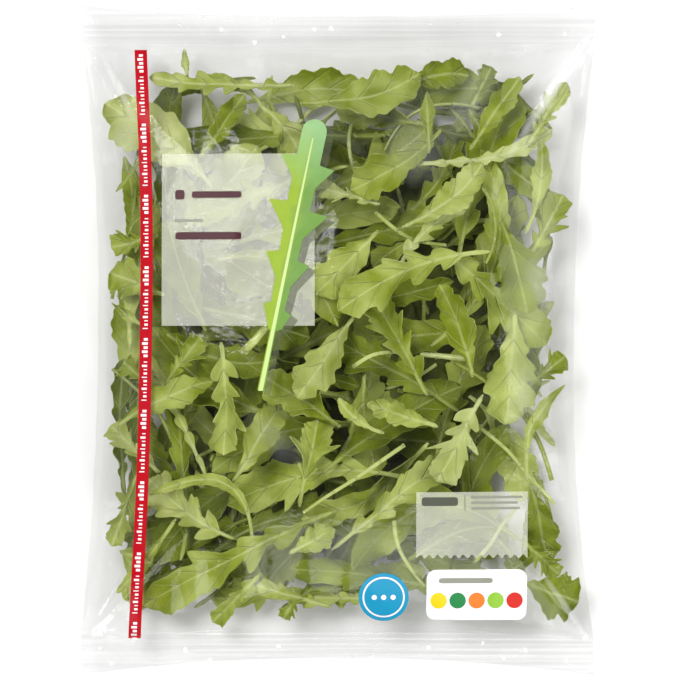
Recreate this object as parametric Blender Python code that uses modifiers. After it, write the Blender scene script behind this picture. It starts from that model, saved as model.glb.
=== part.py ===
"""Clear pillow bag of salad leaves, lying on its back with the printed face up.

Metres, +Z up. X runs across the bag and +Y towards its top seal. The origin is on the
table, under the middle of the bag. The bag is one solid out to its film, with the lumps
that the leaves press into it. Each field of print is a thin plate that follows the film.
"""

import math

import bmesh
import bpy
from mathutils import Vector, noise
from mathutils.bvhtree import BVHTree

# The film tube as it lies flat, before it is filled
FLAT_WIDTH = 0.252
FLAT_HEIGHT = 0.330
SEAL_DEPTH = 0.017
SEAL_THICKNESS = 0.0009

# How far the filled bag stands above and below its side folds, and how high those lie
CROWN_UP = 0.034
CROWN_DOWN = 0.028
SWELL_FLATNESS = 2.4
SWELL_SHOULDER = 0.7
FOLD_HEIGHT = 0.0235
END_DROOP = 0.0065
BED_EASE = 0.002

# The ends draw in where the middle is full, and the waist sits a little to the left
TOP_PULL = 0.0055
TOP_PULL_POWER = 3.2
BOTTOM_PULL = 0.0085
BOTTOM_PULL_POWER = 2.2
WAIST_SHIFT = 0.0018
WAIST_CENTRE = -0.35
WAIST_SPREAD = 0.6

# Lumps from the leaves, gathers along the seals, and creases from the corners
LUMP_HEIGHT = 0.0020
LUMP_SPAN = 0.046
LUMP_SEED = 2.7
GATHER_HEIGHT = 0.0028
GATHER_SPAN = 0.034
GATHER_PEAK = 0.014
GATHER_DRIFT = 0.12
GATHER_SEED = 5
CREASE_HEIGHT = 0.0036
CREASE_WIDTH = 0.008
CREASE_LENGTH = 0.030
CREASE_ANGLE = math.radians(53)
SEAL_WAVE = 0.0014
SEAL_WAVE_SPAN = 0.145

# The mesh: cells across and along the bag, rows of cells in each seal, and steps of half_width
COLUMNS = 40
ROWS = 46
SEAL_ROWS = 2
GIRTH_STEPS = 12

# Printed fields: centre and half sizes on the bag, and the thickness that they stand proud
PRINT_GAP = 0.0007
PRINT_THICKNESS = 0.0003
OVERPRINT_LIFT = 0.0014
STRIPE_PLACE = 0.79
STRIPE_LEAN = 0.022
STRIPE_WIDTH = 0.0061
STRIPE_TOP = 0.1424
STRIPE_BOTTOM = -0.1466
FRONT_PANEL = (-0.0486, 0.0486, 0.0371, 0.0417)
WEIGHT_PANEL = (0.0648, -0.0894, 0.0272, 0.0158)
SCALLOPS = 13
SCALLOP_DEPTH = 0.0009
ROUND_MARK = (0.0220, -0.1255, 0.0122)
COLOUR_MARK = (0.0674, -0.1244, 0.0245, 0.0127)
COLOUR_MARK_CORNER = 0.0045

# The leaf picture: its two ends, its half widths, and the shares of its length for its parts
LEAF_FOOT = (-0.0376, -0.0245)
LEAF_TIP = (-0.0105, 0.1070)
LEAF_STALK_HALF = 0.0016
LEAF_STALK_TAPER = 0.6
LEAF_BLADE_HALF = 0.0158
LEAF_BLADE_START = 0.22
LEAF_LOBES = ((0.07, 0.45), (0.30, 0.70), (0.53, 0.95), (0.75, 0.85))
LEAF_LOBE_RISE = 0.17
LEAF_LOBE_FALL = 0.055
LEAF_LOBE_SHIFT = 0.03
LEAF_LOBE_LEAN = 0.028
LEAF_WEB = 0.20
LEAF_WEB_GROWTH = 0.18
LEAF_ROUND_START = 0.955

seal_start = 1 - 2 * SEAL_DEPTH / FLAT_HEIGHT


def clear_scene():
    for obj in list(bpy.data.objects):
        bpy.data.objects.remove(obj)


def collection(name):
    made = bpy.data.collections.new(name)
    bpy.context.scene.collection.children.link(made)
    return made


def finish(name, colour, roughness, alpha=1.0):
    made = bpy.data.materials.new(name)
    made.use_nodes = True
    shader = made.node_tree.nodes["Principled BSDF"]
    shader.inputs["Base Color"].default_value = (*colour, 1)
    shader.inputs["Roughness"].default_value = roughness
    shader.inputs["Alpha"].default_value = alpha
    made.diffuse_color = (*colour, alpha)
    return made


def add_object(name, bm, material, where):
    mesh = bpy.data.meshes.new(name)
    bm.to_mesh(mesh)
    bm.free()
    mesh.materials.append(material)
    mesh.shade_smooth()
    made = bpy.data.objects.new(name, mesh)
    where.objects.link(made)
    return made


def swell(t):
    """How full the bag is at t, from 0 on a seal to 1 across the middle.

    t is -1 at the bottom end of the bag and 1 at the top.
    """
    reach = min(abs(t) / seal_start, 1)
    return (1 - reach**SWELL_FLATNESS) ** SWELL_SHOULDER


def half_width(t):
    """Half the bag's width at t. The film tube keeps its girth, so it narrows where it is full.

    Each step takes a quarter of what is left over of the girth of an ellipse, by Ramanujan's sum.
    """
    thick = swell(t) * (CROWN_UP + CROWN_DOWN) / 2
    half = FLAT_WIDTH / 2
    for _ in range(GIRTH_STEPS):
        share = ((half - thick) / (half + thick)) ** 2
        girth = math.pi * (half + thick) * (1 + 3 * share / (10 + math.sqrt(4 - 3 * share)))
        half -= (girth - 2 * FLAT_WIDTH) / 4
    return half


def waist_shift(t):
    return -WAIST_SHIFT * math.exp(-(((t - WAIST_CENTRE) / WAIST_SPREAD) ** 2))


def fold_height(x, t):
    """Height of the side folds and the seals over the table, with the seals' slow wave."""
    wave = math.sin(math.tau * x / SEAL_WAVE_SPAN + 2 * t) * abs(t) ** 8
    return FOLD_HEIGHT - END_DROOP * t**4 + SEAL_WAVE * wave


def end_pull(across, t):
    """How far the film at this place is drawn in from its flat length."""
    pull = TOP_PULL if t > 0 else BOTTOM_PULL
    power = TOP_PULL_POWER if t > 0 else BOTTOM_PULL_POWER
    return math.copysign(pull * abs(t) ** 3 * (1 - abs(across) ** power), t)


def gather(x, t):
    """Folds that run away from a seal, highest a little way in and gone by the middle."""
    away = max(seal_start - abs(t), 0) * FLAT_HEIGHT / 2
    shape = away / GATHER_PEAK * math.exp(1 - away / GATHER_PEAK)
    place = Vector((x / GATHER_SPAN, math.copysign(GATHER_SEED, t), away / GATHER_DRIFT))
    return GATHER_HEIGHT * shape * noise.noise(place)


def crease(x, y):
    """A tight fold that runs in from each corner of the bag."""
    corner = Vector((FLAT_WIDTH / 2, seal_start * FLAT_HEIGHT / 2))
    inward = Vector((-math.cos(CREASE_ANGLE), -math.sin(CREASE_ANGLE)))
    offset = Vector((abs(x), abs(y))) - corner
    along = offset.dot(inward)
    aside = offset.cross(inward)
    if along <= 0:
        return 0
    reach = along / CREASE_LENGTH
    fade = reach * math.exp((1 - reach**2) / 2)
    return CREASE_HEIGHT * fade * math.exp(-((aside / CREASE_WIDTH) ** 2))


def film_point(across, t, upper):
    """A point of the film, with across -1 at the left fold and 1 at the right, and t along the bag."""
    half = half_width(t)
    x = waist_shift(t) + half * across
    y = t * FLAT_HEIGHT / 2 - end_pull(across, t)
    arch = math.sqrt(max(1 - across**2, 0))
    fold = fold_height(x, t)
    if upper:
        lump = LUMP_HEIGHT * noise.noise(Vector((x / LUMP_SPAN, y / LUMP_SPAN, LUMP_SEED)))
        relief = (lump * swell(t) + gather(x, t) + crease(x, y)) * arch
        return Vector((x, y, fold + SEAL_THICKNESS / 2 + CROWN_UP * swell(t) * arch + relief))
    z = fold - SEAL_THICKNESS / 2 - CROWN_DOWN * swell(t) * arch
    if z < -BED_EASE:
        z = 0
    elif z < BED_EASE:
        z = (z + BED_EASE) ** 2 / (4 * BED_EASE)
    return Vector((x, y, z))


def row_place(v):
    """Spaces the rows of the grid, so that one lies along the inner edge of each seal."""
    edge = 1 - 2 * SEAL_ROWS / ROWS
    if abs(v) <= edge:
        return v / edge * seal_start
    return math.copysign(seal_start + (abs(v) - edge) / (1 - edge) * (1 - seal_start), v)


def make_bag(where):
    """The filled bag out to its film: a flat slab of cells, blown up to the shape of the film."""
    bm = bmesh.new()
    bmesh.ops.create_grid(bm, x_segments=COLUMNS, y_segments=ROWS, size=1)
    lower = list(bm.verts)
    raised = bmesh.ops.extrude_face_region(bm, geom=bm.faces[:])["geom"]
    upper = [item for item in raised if isinstance(item, bmesh.types.BMVert)]
    for verts, is_upper in ((lower, False), (upper, True)):
        for vert in verts:
            across = math.sin(vert.co.x * math.pi / 2)
            vert.co = film_point(across, row_place(vert.co.y), is_upper)
    bmesh.ops.recalc_face_normals(bm, faces=bm.faces)
    bmesh.ops.triangulate(bm, faces=bm.faces)
    skin = BVHTree.FromBMesh(bm)
    leafy = finish("leaves_behind_film", (0.42, 0.52, 0.25), 0.35)
    add_object("bag", bm, leafy, where)
    return skin


def make_print(name, skin, place, columns, rows, material, where, lift=PRINT_GAP):
    """A printed field: a grid set out by place(u, v), u and v from -1 to 1, and laid on the film."""
    bm = bmesh.new()
    bmesh.ops.create_grid(bm, x_segments=columns, y_segments=rows, size=1)
    for vert in bm.verts:
        x, y = place(vert.co.x, vert.co.y)
        hit = skin.ray_cast(Vector((x, y, 1)), Vector((0, 0, -1)))[0]
        vert.co = hit + Vector((0, 0, lift))
    made = add_object(name, bm, material, where)
    ink = made.modifiers.new("ink_thickness", "SOLIDIFY")
    ink.thickness = PRINT_THICKNESS
    ink.offset = 1
    return made


def stripe_place(u, v):
    """The stripe keeps its place on the film, so it bends with the bag's side."""
    y = STRIPE_BOTTOM + (v + 1) / 2 * (STRIPE_TOP - STRIPE_BOTTOM)
    t = y / (FLAT_HEIGHT / 2)
    middle = waist_shift(t) - (STRIPE_PLACE - STRIPE_LEAN * max(t, 0) ** 2) * half_width(t)
    return middle + u * STRIPE_WIDTH / 2, y


def panel_place(x, y, half_x, half_y):
    return lambda u, v: (x + u * half_x, y + v * half_y)


def scalloped_place(x, y, half_x, half_y):
    """A panel whose lower edge is cut in shallow waves."""

    def place(u, v):
        wave = SCALLOP_DEPTH * math.cos(u * SCALLOPS * math.pi) * (1 - v) / 2
        return x + u * half_x, y + v * half_y + wave

    return place


def disc_place(x, y, radius):
    return lambda u, v: (
        x + radius * u * math.sqrt(1 - v * v / 2),
        y + radius * v * math.sqrt(1 - u * u / 2),
    )


def rounded_place(x, y, half_x, half_y, corner):
    """A panel with round corners: the cells over each corner are drawn in to its arc."""

    def place(u, v):
        px, py = u * half_x, v * half_y
        over_x = abs(px) - (half_x - corner)
        over_y = abs(py) - (half_y - corner)
        if over_x > 0 and over_y > 0:
            round_x = over_x * math.sqrt(1 - (over_y / corner) ** 2 / 2)
            round_y = over_y * math.sqrt(1 - (over_x / corner) ** 2 / 2)
            px = math.copysign(half_x - corner + round_x, px)
            py = math.copysign(half_y - corner + round_y, py)
        return x + px, y + py

    return place


def leaf_half_width(along, u):
    """Half the picture's width at a share of its length, and how far a lobe stands out there."""
    stalk = LEAF_STALK_HALF * (1 - LEAF_STALK_TAPER * along)
    blade = (along - LEAF_BLADE_START) / (1 - LEAF_BLADE_START)
    if blade <= 0:
        return stalk, 0
    spot = blade - (LEAF_LOBE_SHIFT if u < 0 else 0)
    lobe = 0
    for middle, size in LEAF_LOBES:
        length = LEAF_LOBE_RISE if spot < middle else LEAF_LOBE_FALL
        lobe = max(lobe, size * max(1 - abs(spot - middle) / length, 0) ** 1.2)
    web = (LEAF_WEB + LEAF_WEB_GROWTH * min(blade * 1.6, 1)) * min(blade * 12, 1)
    return max(stalk, LEAF_BLADE_HALF * max(web, lobe)), lobe


def leaf_place(u, v):
    """A rocket leaf from its stalk to its round tip, with lobes that lean towards the tip."""
    foot = Vector(LEAF_FOOT)
    run = Vector(LEAF_TIP) - foot
    side = Vector((run.y, -run.x)).normalized()
    along = (v + 1) / 2
    half, lobe = leaf_half_width(along, u)
    if along > LEAF_ROUND_START:
        past = (along - LEAF_ROUND_START) / (1 - LEAF_ROUND_START)
        half *= math.sqrt(max(1 - past**2, 0.02))
    lean = LEAF_LOBE_LEAN * lobe * abs(u)
    point = foot + run * min(along + lean, 1) + side * u * half
    return point.x, point.y


def main():
    clear_scene()
    where = collection("bag_of_salad_leaves")
    skin = make_bag(where)
    red = finish("red_ink", (0.62, 0.01, 0.03), 0.4)
    veil = finish("white_veil_ink", (0.86, 0.90, 0.80), 0.5, 0.7)
    leaf_ink = finish("leaf_green_ink", (0.22, 0.52, 0.10), 0.45)
    blue = finish("blue_ink", (0.02, 0.33, 0.55), 0.4)
    white = finish("white_ink", (0.92, 0.92, 0.92), 0.4)
    make_print("stripe", skin, stripe_place, 2, 56, red, where)
    make_print("front_panel", skin, panel_place(*FRONT_PANEL), 14, 16, veil, where)
    make_print("leaf_picture", skin, leaf_place, 4, 96, leaf_ink, where, OVERPRINT_LIFT)
    scalloped = scalloped_place(*WEIGHT_PANEL)
    make_print("weight_panel", skin, scalloped, 2 * SCALLOPS, 4, veil, where)
    make_print("round_mark", skin, disc_place(*ROUND_MARK), 8, 8, blue, where)
    rounded = rounded_place(*COLOUR_MARK, COLOUR_MARK_CORNER)
    make_print("colour_mark", skin, rounded, 12, 8, white, where)


main()
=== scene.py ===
"""A clear pillow bag of rocket leaves on a pale table, seen from straight above."""
import math

import bmesh
import bpy
import numpy as np
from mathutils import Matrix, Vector, noise
from mathutils.bvhtree import BVHTree


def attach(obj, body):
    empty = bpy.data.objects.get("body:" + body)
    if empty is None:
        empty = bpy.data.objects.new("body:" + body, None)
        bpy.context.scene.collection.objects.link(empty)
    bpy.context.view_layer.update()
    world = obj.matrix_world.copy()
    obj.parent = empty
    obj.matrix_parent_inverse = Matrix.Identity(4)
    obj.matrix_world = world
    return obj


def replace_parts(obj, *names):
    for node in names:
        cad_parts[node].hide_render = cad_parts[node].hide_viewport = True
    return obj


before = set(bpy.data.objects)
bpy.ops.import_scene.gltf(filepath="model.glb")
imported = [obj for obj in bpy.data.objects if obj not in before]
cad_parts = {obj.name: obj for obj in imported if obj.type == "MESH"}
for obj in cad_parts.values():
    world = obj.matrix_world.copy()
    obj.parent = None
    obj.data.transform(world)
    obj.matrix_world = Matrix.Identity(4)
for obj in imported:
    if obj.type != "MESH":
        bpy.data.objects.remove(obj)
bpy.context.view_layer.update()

# The film bag
# Real piece: a tube of clear polypropylene film, 35 microns thick, cut to length on a bagging
# machine and closed at both ends by ribbed hot jaws. Full of leaves it swells and draws in at the
# waist, and the film between the stiff seals and the soft middle gathers into folds.
FLAT_WIDTH = 0.252
FLAT_HEIGHT = 0.330
SEAL_DEPTH = 0.017
SEAL_THICKNESS = 0.0009
CROWN_UP = 0.034
CROWN_DOWN = 0.028
SWELL_FLATNESS = 2.4
SWELL_SHOULDER = 0.7
FOLD_HEIGHT = 0.0235
END_DROOP = 0.0065
BED_EASE = 0.002
FILM_BED = 0.0005
TOP_PULL, TOP_PULL_POWER = 0.0055, 3.2
BOTTOM_PULL, BOTTOM_PULL_POWER = 0.0085, 2.2
WAIST_SHIFT, WAIST_CENTRE, WAIST_SPREAD = 0.0018, -0.35, 0.6
LUMP_HEIGHT, LUMP_SPAN, LUMP_SEED = 0.0020, 0.046, 2.7
GATHER_HEIGHT, GATHER_SPAN, GATHER_PEAK = 0.0028, 0.034, 0.014
GATHER_DRIFT, GATHER_SEED = 0.12, 5
CREASE_HEIGHT, CREASE_WIDTH, CREASE_LENGTH = 0.0036, 0.008, 0.030
CREASE_ANGLE = math.radians(53)
SEAL_WAVE, SEAL_WAVE_SPAN = 0.0014, 0.145
FILM_COLUMNS, FILM_ROWS, SEAL_ROWS = 150, 224, 34
RIB_PITCH, RIB_HEIGHT = 0.0027, 0.00022
PUCKER_HEIGHT, PUCKER_SPAN, PUCKER_DRIFT = 0.0011, 0.0085, 0.05
PUCKER_PEAK, PUCKER_REACH = 0.006, 0.016
RIPPLE_HEIGHT, RIPPLE_SPAN, RIPPLE_REACH = 0.0006, (0.021, 0.007), 0.014
SLACK_HEIGHT, SLACK_SPAN, SLACK_SLANT, SLACK_SHARPNESS = 0.0004, (0.03, 0.034), (0.06, 0.09), 2.2
EDGE_WAVE, EDGE_WAVE_SPAN = 0.0004, 0.012
END_WAVE, END_WAVE_SPAN = 0.0003, 0.02
TIGHT_FOLDS = ((math.radians(47), 0.0011, 0.0016, 0.034), (math.radians(61), 0.0009, 0.0013, 0.026))

seal_start = 1 - 2 * SEAL_DEPTH / FLAT_HEIGHT


def noise_at(x, y, z=0.0):
    """Smooth noise from -1 to 1, at each place of the arrays."""
    x, y, z = np.broadcast_arrays(x, y, z)
    places = zip(x.ravel(), y.ravel(), z.ravel())
    return np.reshape([noise.noise(Vector(place)) for place in places], x.shape)


def swell(t):
    reach = np.minimum(np.abs(t) / seal_start, 1)
    return (1 - reach**SWELL_FLATNESS) ** SWELL_SHOULDER


def half_width(t):
    """Half the bag's width at t: the tube keeps its girth, so it narrows where it is full."""
    thick = swell(t) * (CROWN_UP + CROWN_DOWN) / 2
    half = np.full_like(thick, FLAT_WIDTH / 2)
    for _ in range(12):
        share = ((half - thick) / (half + thick)) ** 2
        girth = math.pi * (half + thick) * (1 + 3 * share / (10 + np.sqrt(4 - 3 * share)))
        half -= (girth - 2 * FLAT_WIDTH) / 4
    return half


def waist_shift(t):
    return -WAIST_SHIFT * np.exp(-(((t - WAIST_CENTRE) / WAIST_SPREAD) ** 2))


def fold_height(x, t):
    wave = np.sin(math.tau * x / SEAL_WAVE_SPAN + 2 * t) * np.abs(t) ** 8
    return FOLD_HEIGHT - END_DROOP * t**4 + SEAL_WAVE * wave


def end_pull(across, t):
    pull = np.where(t > 0, TOP_PULL, BOTTOM_PULL)
    power = np.where(t > 0, TOP_PULL_POWER, BOTTOM_PULL_POWER)
    return np.sign(t) * pull * np.abs(t) ** 3 * (1 - np.abs(across) ** power)


def from_seal(t):
    """How far a place is from the inner edge of the nearer seal, and 0 inside the seal."""
    return np.maximum(seal_start - np.abs(t), 0) * FLAT_HEIGHT / 2


def corner_fold(x, y, angle, height, width, length):
    """A straight fold that runs in from the nearest corner of the bag and dies away."""
    along_x = FLAT_WIDTH / 2 - np.abs(x)
    along_y = seal_start * FLAT_HEIGHT / 2 - np.abs(y)
    along = along_x * math.cos(angle) + along_y * math.sin(angle)
    aside = along_x * math.sin(angle) - along_y * math.cos(angle)
    reach = np.maximum(along, 0) / length
    return height * reach * np.exp((1 - reach**2) / 2) * np.exp(-((aside / width) ** 2))


def film_places(across, t, upper, fine=True):
    """Points of the film: the same form as the solid, with fine wrinkles where fine is set."""
    x = waist_shift(t) + half_width(t) * across
    y = t * FLAT_HEIGHT / 2 - end_pull(across, t)
    arch = np.sqrt(np.maximum(1 - across**2, 0))
    fold = fold_height(x, t)
    away = from_seal(t)
    fine_relief = 0
    if fine:
        side = 1 if upper else -1
        rib = np.where(np.abs(t) > seal_start, np.sin(math.tau * np.abs(y) / RIB_PITCH), 0)
        edge = (1 - np.abs(across)) * FLAT_WIDTH / 2
        pucker = noise_at(x / PUCKER_SPAN, 3.1 * side, away / PUCKER_DRIFT)
        pucker = pucker * np.exp(-away / PUCKER_REACH) * away / PUCKER_PEAK
        ripple = noise_at(x / RIPPLE_SPAN[0], y / RIPPLE_SPAN[1], 8.4 * side)
        ripple = ripple * np.exp(-edge / RIPPLE_REACH)
        slack_x, slack_y = x / SLACK_SPAN[0] + y / SLACK_SLANT[0], y / SLACK_SPAN[1] - x / SLACK_SLANT[1]
        slack = 1 - np.abs(noise_at(slack_x, slack_y, 6.6 * side)) * SLACK_SHARPNESS
        tight = sum(corner_fold(x, y, *fold_shape) for fold_shape in TIGHT_FOLDS)
        inside = np.clip(away / PUCKER_PEAK, 0, 1)
        fine_relief = RIB_HEIGHT * rib + PUCKER_HEIGHT * pucker
        slack = SLACK_HEIGHT * np.maximum(slack, 0) ** 3
        fine_relief += side * inside * (RIPPLE_HEIGHT * ripple + slack + tight)
        x = x + EDGE_WAVE * noise_at(0.0, y / EDGE_WAVE_SPAN, 1.3) * np.abs(across) ** 8
        y = y + END_WAVE * noise_at(x / END_WAVE_SPAN, 0.0, 7.1) * np.abs(t) ** 30
    if not upper:
        z = fold - SEAL_THICKNESS / 2 - CROWN_DOWN * swell(t) * arch + fine_relief
        bed = (z - FILM_BED + BED_EASE) ** 2 / (4 * BED_EASE)
        flat = np.where(z - FILM_BED < -BED_EASE, 0, bed)
        return x, y, np.where(z - FILM_BED < BED_EASE, flat + FILM_BED, z)
    lump = LUMP_HEIGHT * noise_at(x / LUMP_SPAN, y / LUMP_SPAN, LUMP_SEED) * swell(t)
    shape = away / GATHER_PEAK * np.exp(1 - away / GATHER_PEAK)
    seed = np.copysign(GATHER_SEED, t)
    lump += GATHER_HEIGHT * shape * noise_at(x / GATHER_SPAN, seed, away / GATHER_DRIFT)
    lump += corner_fold(x, y, CREASE_ANGLE, CREASE_HEIGHT, CREASE_WIDTH, CREASE_LENGTH)
    return x, y, fold + SEAL_THICKNESS / 2 + (CROWN_UP * swell(t) + lump) * arch + fine_relief


def seal_rows(v):
    """Spaces the rows of the grid closer in the seals, with one along each seal's inner edge."""
    edge = 1 - 2 * SEAL_ROWS / FILM_ROWS
    beyond = seal_start + (np.abs(v) - edge) / (1 - edge) * (1 - seal_start)
    return np.where(np.abs(v) <= edge, v / edge * seal_start, np.copysign(beyond, v))


def linear(hex_colour):
    """An sRGB hex colour as the linear RGBA that shaders take."""
    parts = [int(hex_colour[i : i + 2], 16) / 255 for i in (1, 3, 5)]
    return (*(p / 12.92 if p <= 0.04045 else ((p + 0.055) / 1.055) ** 2.4 for p in parts), 1)


def repeats(millimetres):
    """How often a pattern of this size repeats in a metre, as the scale of a texture."""
    return 1000 / millimetres


def add_node(tree, kind, inputs=None, **settings):
    """Adds a shader node, and sets or links each of its inputs."""
    made = tree.nodes.new("ShaderNode" + kind)
    for name, value in settings.items():
        setattr(made, name, value)
    for name, value in (inputs or {}).items():
        if isinstance(value, bpy.types.NodeSocket):
            tree.links.new(value, made.inputs[name])
        else:
            made.inputs[name].default_value = value
    return made


def new_material(name):
    """A material with its node tree emptied, and the output node to link the finish to."""
    made = bpy.data.materials.new(name)
    made.use_nodes = True
    made.node_tree.nodes.clear()
    return made, made.node_tree, add_node(made.node_tree, "OutputMaterial")


def mesh_from(name, made):
    """The mesh of a finished bmesh."""
    mesh = bpy.data.meshes.new(name)
    made.to_mesh(mesh)
    made.free()
    return mesh


def object_from(name, mesh, *materials):
    for material in materials:
        mesh.materials.append(material)
    made = bpy.data.objects.new(name, mesh)
    bpy.context.scene.collection.objects.link(made)
    return made


# Clear cast polypropylene: the eye sees a faint milky veil, a grey edge where the film turns away,
# and soft bright lines along its folds, partly from real gloss and partly painted highlights.
PAINTED_FOLD_HIGHLIGHTS = (
    # middle, turn, reach and density of each painted highlight, a milky patch or crease on a fold
    ((0.1050, 0.1230), -0.58, (0.0036, 0.038), 0.42),
    ((-0.1080, 0.1240), 0.50, (0.0024, 0.022), 0.25),
    ((0.1100, -0.1290), 0.62, (0.0024, 0.022), 0.25),
    ((0.0990, 0.0270), 0.5, (0.009, 0.017), 0.13),
    ((0.0640, 0.1170), -0.5, (0.010, 0.030), 0.08),
    ((0.0370, 0.0900), 0.3, (0.014, 0.020), 0.07),
    ((-0.1040, 0.0960), 0.1, (0.008, 0.020), 0.11),
    ((-0.0300, -0.0480), 0.8, (0.010, 0.022), 0.06),
    ((0.0880, -0.0300), -0.2, (0.007, 0.020), 0.08),
)
# Sizes of the film's patterns in millimetres, across the bag and along it where there are two.
CRINKLE_SIZE, HAZE_PATCH_SIZE, SPECK_PITCH = 5.88, 45.5, 10.53
STREAK_SIZE, JAW_LINE_SIZE = (16.67, 71.4), (143.0, 2.326)

clear_film, tree, output = new_material("clear_polypropylene_film")
place = add_node(tree, "TexCoord").outputs["Object"]
crinkle = {"Vector": place, "Scale": repeats(CRINKLE_SIZE), "Detail": 3.0}
crinkle = add_node(tree, "TexNoise", crinkle).outputs[0]
across, along = repeats(STREAK_SIZE[0]), repeats(STREAK_SIZE[1])
drawn = add_node(tree, "Mapping", {"Vector": place, "Scale": (across, along, across)}).outputs[0]
streak = add_node(tree, "TexNoise", {"Vector": drawn, "Scale": 1.0, "Detail": 2.0}).outputs[0]
relief = add_node(tree, "Math", {0: crinkle, 1: streak}, operation="ADD").outputs[0]
bump = add_node(tree, "Bump", {"Height": relief, "Distance": 0.0005, "Strength": 0.6}).outputs[0]
patch = {"Vector": place, "Scale": repeats(HAZE_PATCH_SIZE), "Detail": 2.0}
patch = add_node(tree, "TexNoise", patch).outputs[0]
haze_and_painted_highlights = add_node(tree, "MapRange", {0: patch, 1: 0.45, 2: 0.8, 3: 0.0, 4: 0.006}).outputs[0]
# The painted highlights: the milky veil laid in soft streaks, standing in for light on folds.
for middle, turn, reach, density in PAINTED_FOLD_HIGHLIGHTS:
    spot = {"Vector": place, "Location": (*middle, 0.0), "Rotation": (0, 0, turn)}
    spot = add_node(tree, "Mapping", {**spot, "Scale": (*reach, 1.0)}, vector_type="TEXTURE")
    flat = {0: spot.outputs[0], 1: (1, 1, 0)}
    flat = add_node(tree, "VectorMath", flat, operation="MULTIPLY").outputs[0]
    away = add_node(tree, "VectorMath", {0: flat}, operation="LENGTH").outputs["Value"]
    away = add_node(tree, "Math", {0: streak, 1: 1.1, 2: away}, operation="MULTIPLY_ADD").outputs[0]
    painted_highlight = add_node(tree, "MapRange", {0: away, 1: 0.9, 2: 1.5, 3: density, 4: 0.0}).outputs[0]
    haze_and_painted_highlights = add_node(tree, "Math", {0: haze_and_painted_highlights, 1: painted_highlight}, operation="ADD").outputs[0]
# Painted glints: white specks in the seals only, standing in for light caught by the ribbed film.
painted_glints = {"Vector": place, "Scale": repeats(SPECK_PITCH)}
painted_glints = add_node(tree, "TexVoronoi", painted_glints).outputs["Distance"]
painted_glints = add_node(tree, "MapRange", {0: painted_glints, 1: 0.06, 2: 0.14, 3: 1.0, 4: 0.0}).outputs[0]
height = add_node(tree, "SeparateXYZ", {0: place}).outputs[1]
height = add_node(tree, "Math", {0: height}, operation="ABSOLUTE").outputs[0]
in_seal = {0: height, 1: FLAT_HEIGHT / 2 - 1.4 * SEAL_DEPTH, 2: FLAT_HEIGHT / 2 - SEAL_DEPTH, 3: 0.0, 4: 1.0}
in_seal = add_node(tree, "MapRange", in_seal).outputs[0]
painted_glints = add_node(tree, "Math", {0: painted_glints, 1: in_seal}, operation="MULTIPLY").outputs[0]
haze_and_painted_highlights = add_node(tree, "Math", {0: haze_and_painted_highlights, 1: painted_glints}, operation="MAXIMUM").outputs[0]
facing = add_node(tree, "LayerWeight", {"Blend": 0.5, "Normal": bump}).outputs["Facing"]
steep = add_node(tree, "Math", {0: facing, 1: 3.2}, operation="POWER").outputs[0]
gloss_share = add_node(tree, "MapRange", {0: steep, 1: 0.0, 2: 1.0, 3: 0.02, 4: 0.6}).outputs[0]
# The jaws leave the seals duller than the rest; the film there is also greyer in lines across.
dull = add_node(tree, "MapRange", {0: in_seal, 3: 1.0, 4: 0.55}).outputs[0]
gloss_share = add_node(tree, "Math", {0: gloss_share, 1: dull}, operation="MULTIPLY").outputs[0]
across, along = repeats(JAW_LINE_SIZE[0]), repeats(JAW_LINE_SIZE[1])
drawn = add_node(tree, "Mapping", {"Vector": place, "Scale": (across, along, across)}).outputs[0]
grey_lines = add_node(tree, "TexNoise", {"Vector": drawn, "Scale": 1.0}).outputs[0]
grey_lines = add_node(tree, "MapRange", {0: grey_lines, 1: 0.38, 2: 0.60, 3: 0.0, 4: 1.0}).outputs[0]
grey_lines = add_node(tree, "Math", {0: grey_lines, 1: in_seal}, operation="MULTIPLY").outputs[0]
tint = {"Fac": grey_lines, "Color1": linear("#f8f8f8"), "Color2": linear("#f3f3f3")}
tint = add_node(tree, "MixRGB", tint).outputs[0]
clear = add_node(tree, "BsdfTransparent", {"Color": tint}).outputs[0]
milky = {"Base Color": linear("#f4f5f5"), "Roughness": 0.4, "IOR": 1.49, "Normal": bump}
veil = add_node(tree, "BsdfPrincipled", milky).outputs[0]
hazy = add_node(tree, "MixShader", {0: haze_and_painted_highlights, 1: clear, 2: veil}).outputs[0]
shine = {"Color": linear("#ffffff"), "Roughness": 0.1, "Normal": bump}
gloss = add_node(tree, "BsdfAnisotropic", shine).outputs[0]
film_finish = add_node(tree, "MixShader", {0: gloss_share, 1: hazy, 2: gloss}).outputs[0]
tree.links.new(film_finish, output.inputs[0])

film_mesh = bmesh.new()
bmesh.ops.create_grid(film_mesh, x_segments=FILM_COLUMNS, y_segments=FILM_ROWS, size=1)
lower_film = list(film_mesh.verts)
raised = bmesh.ops.extrude_face_region(film_mesh, geom=film_mesh.faces[:])["geom"]
upper_film = [item for item in raised if isinstance(item, bmesh.types.BMVert)]
for film_verts, is_upper in ((lower_film, False), (upper_film, True)):
    flat = np.array([vert.co.xy for vert in film_verts])
    across, t = np.sin(flat[:, 0] * math.pi / 2), seal_rows(flat[:, 1])
    for vert, point in zip(film_verts, np.transpose(film_places(across, t, is_upper))):
        vert.co = point
bmesh.ops.recalc_face_normals(film_mesh, faces=film_mesh.faces)
skin = BVHTree.FromBMesh(film_mesh)
mesh = mesh_from("film_bag", film_mesh)
mesh.shade_smooth()
film_bag = object_from("film_bag", mesh, clear_film)
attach(film_bag, "root")
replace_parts(film_bag, "bag")

# The print on the film
# Real piece: flexographic ink on the front film, a few microns thick, in fields of plain colour.
# Each field here is a thin plate laid on the film, so that it bends with every fold.
INK_LIFT = 0.00022
INK_THICKNESS = 0.00005
# Millimetres. The real mottle is finer than this, and is drawn coarse enough to show.
MOTTLE_SIZE, HALFTONE_SIZE = 1.11, 6.25


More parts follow.
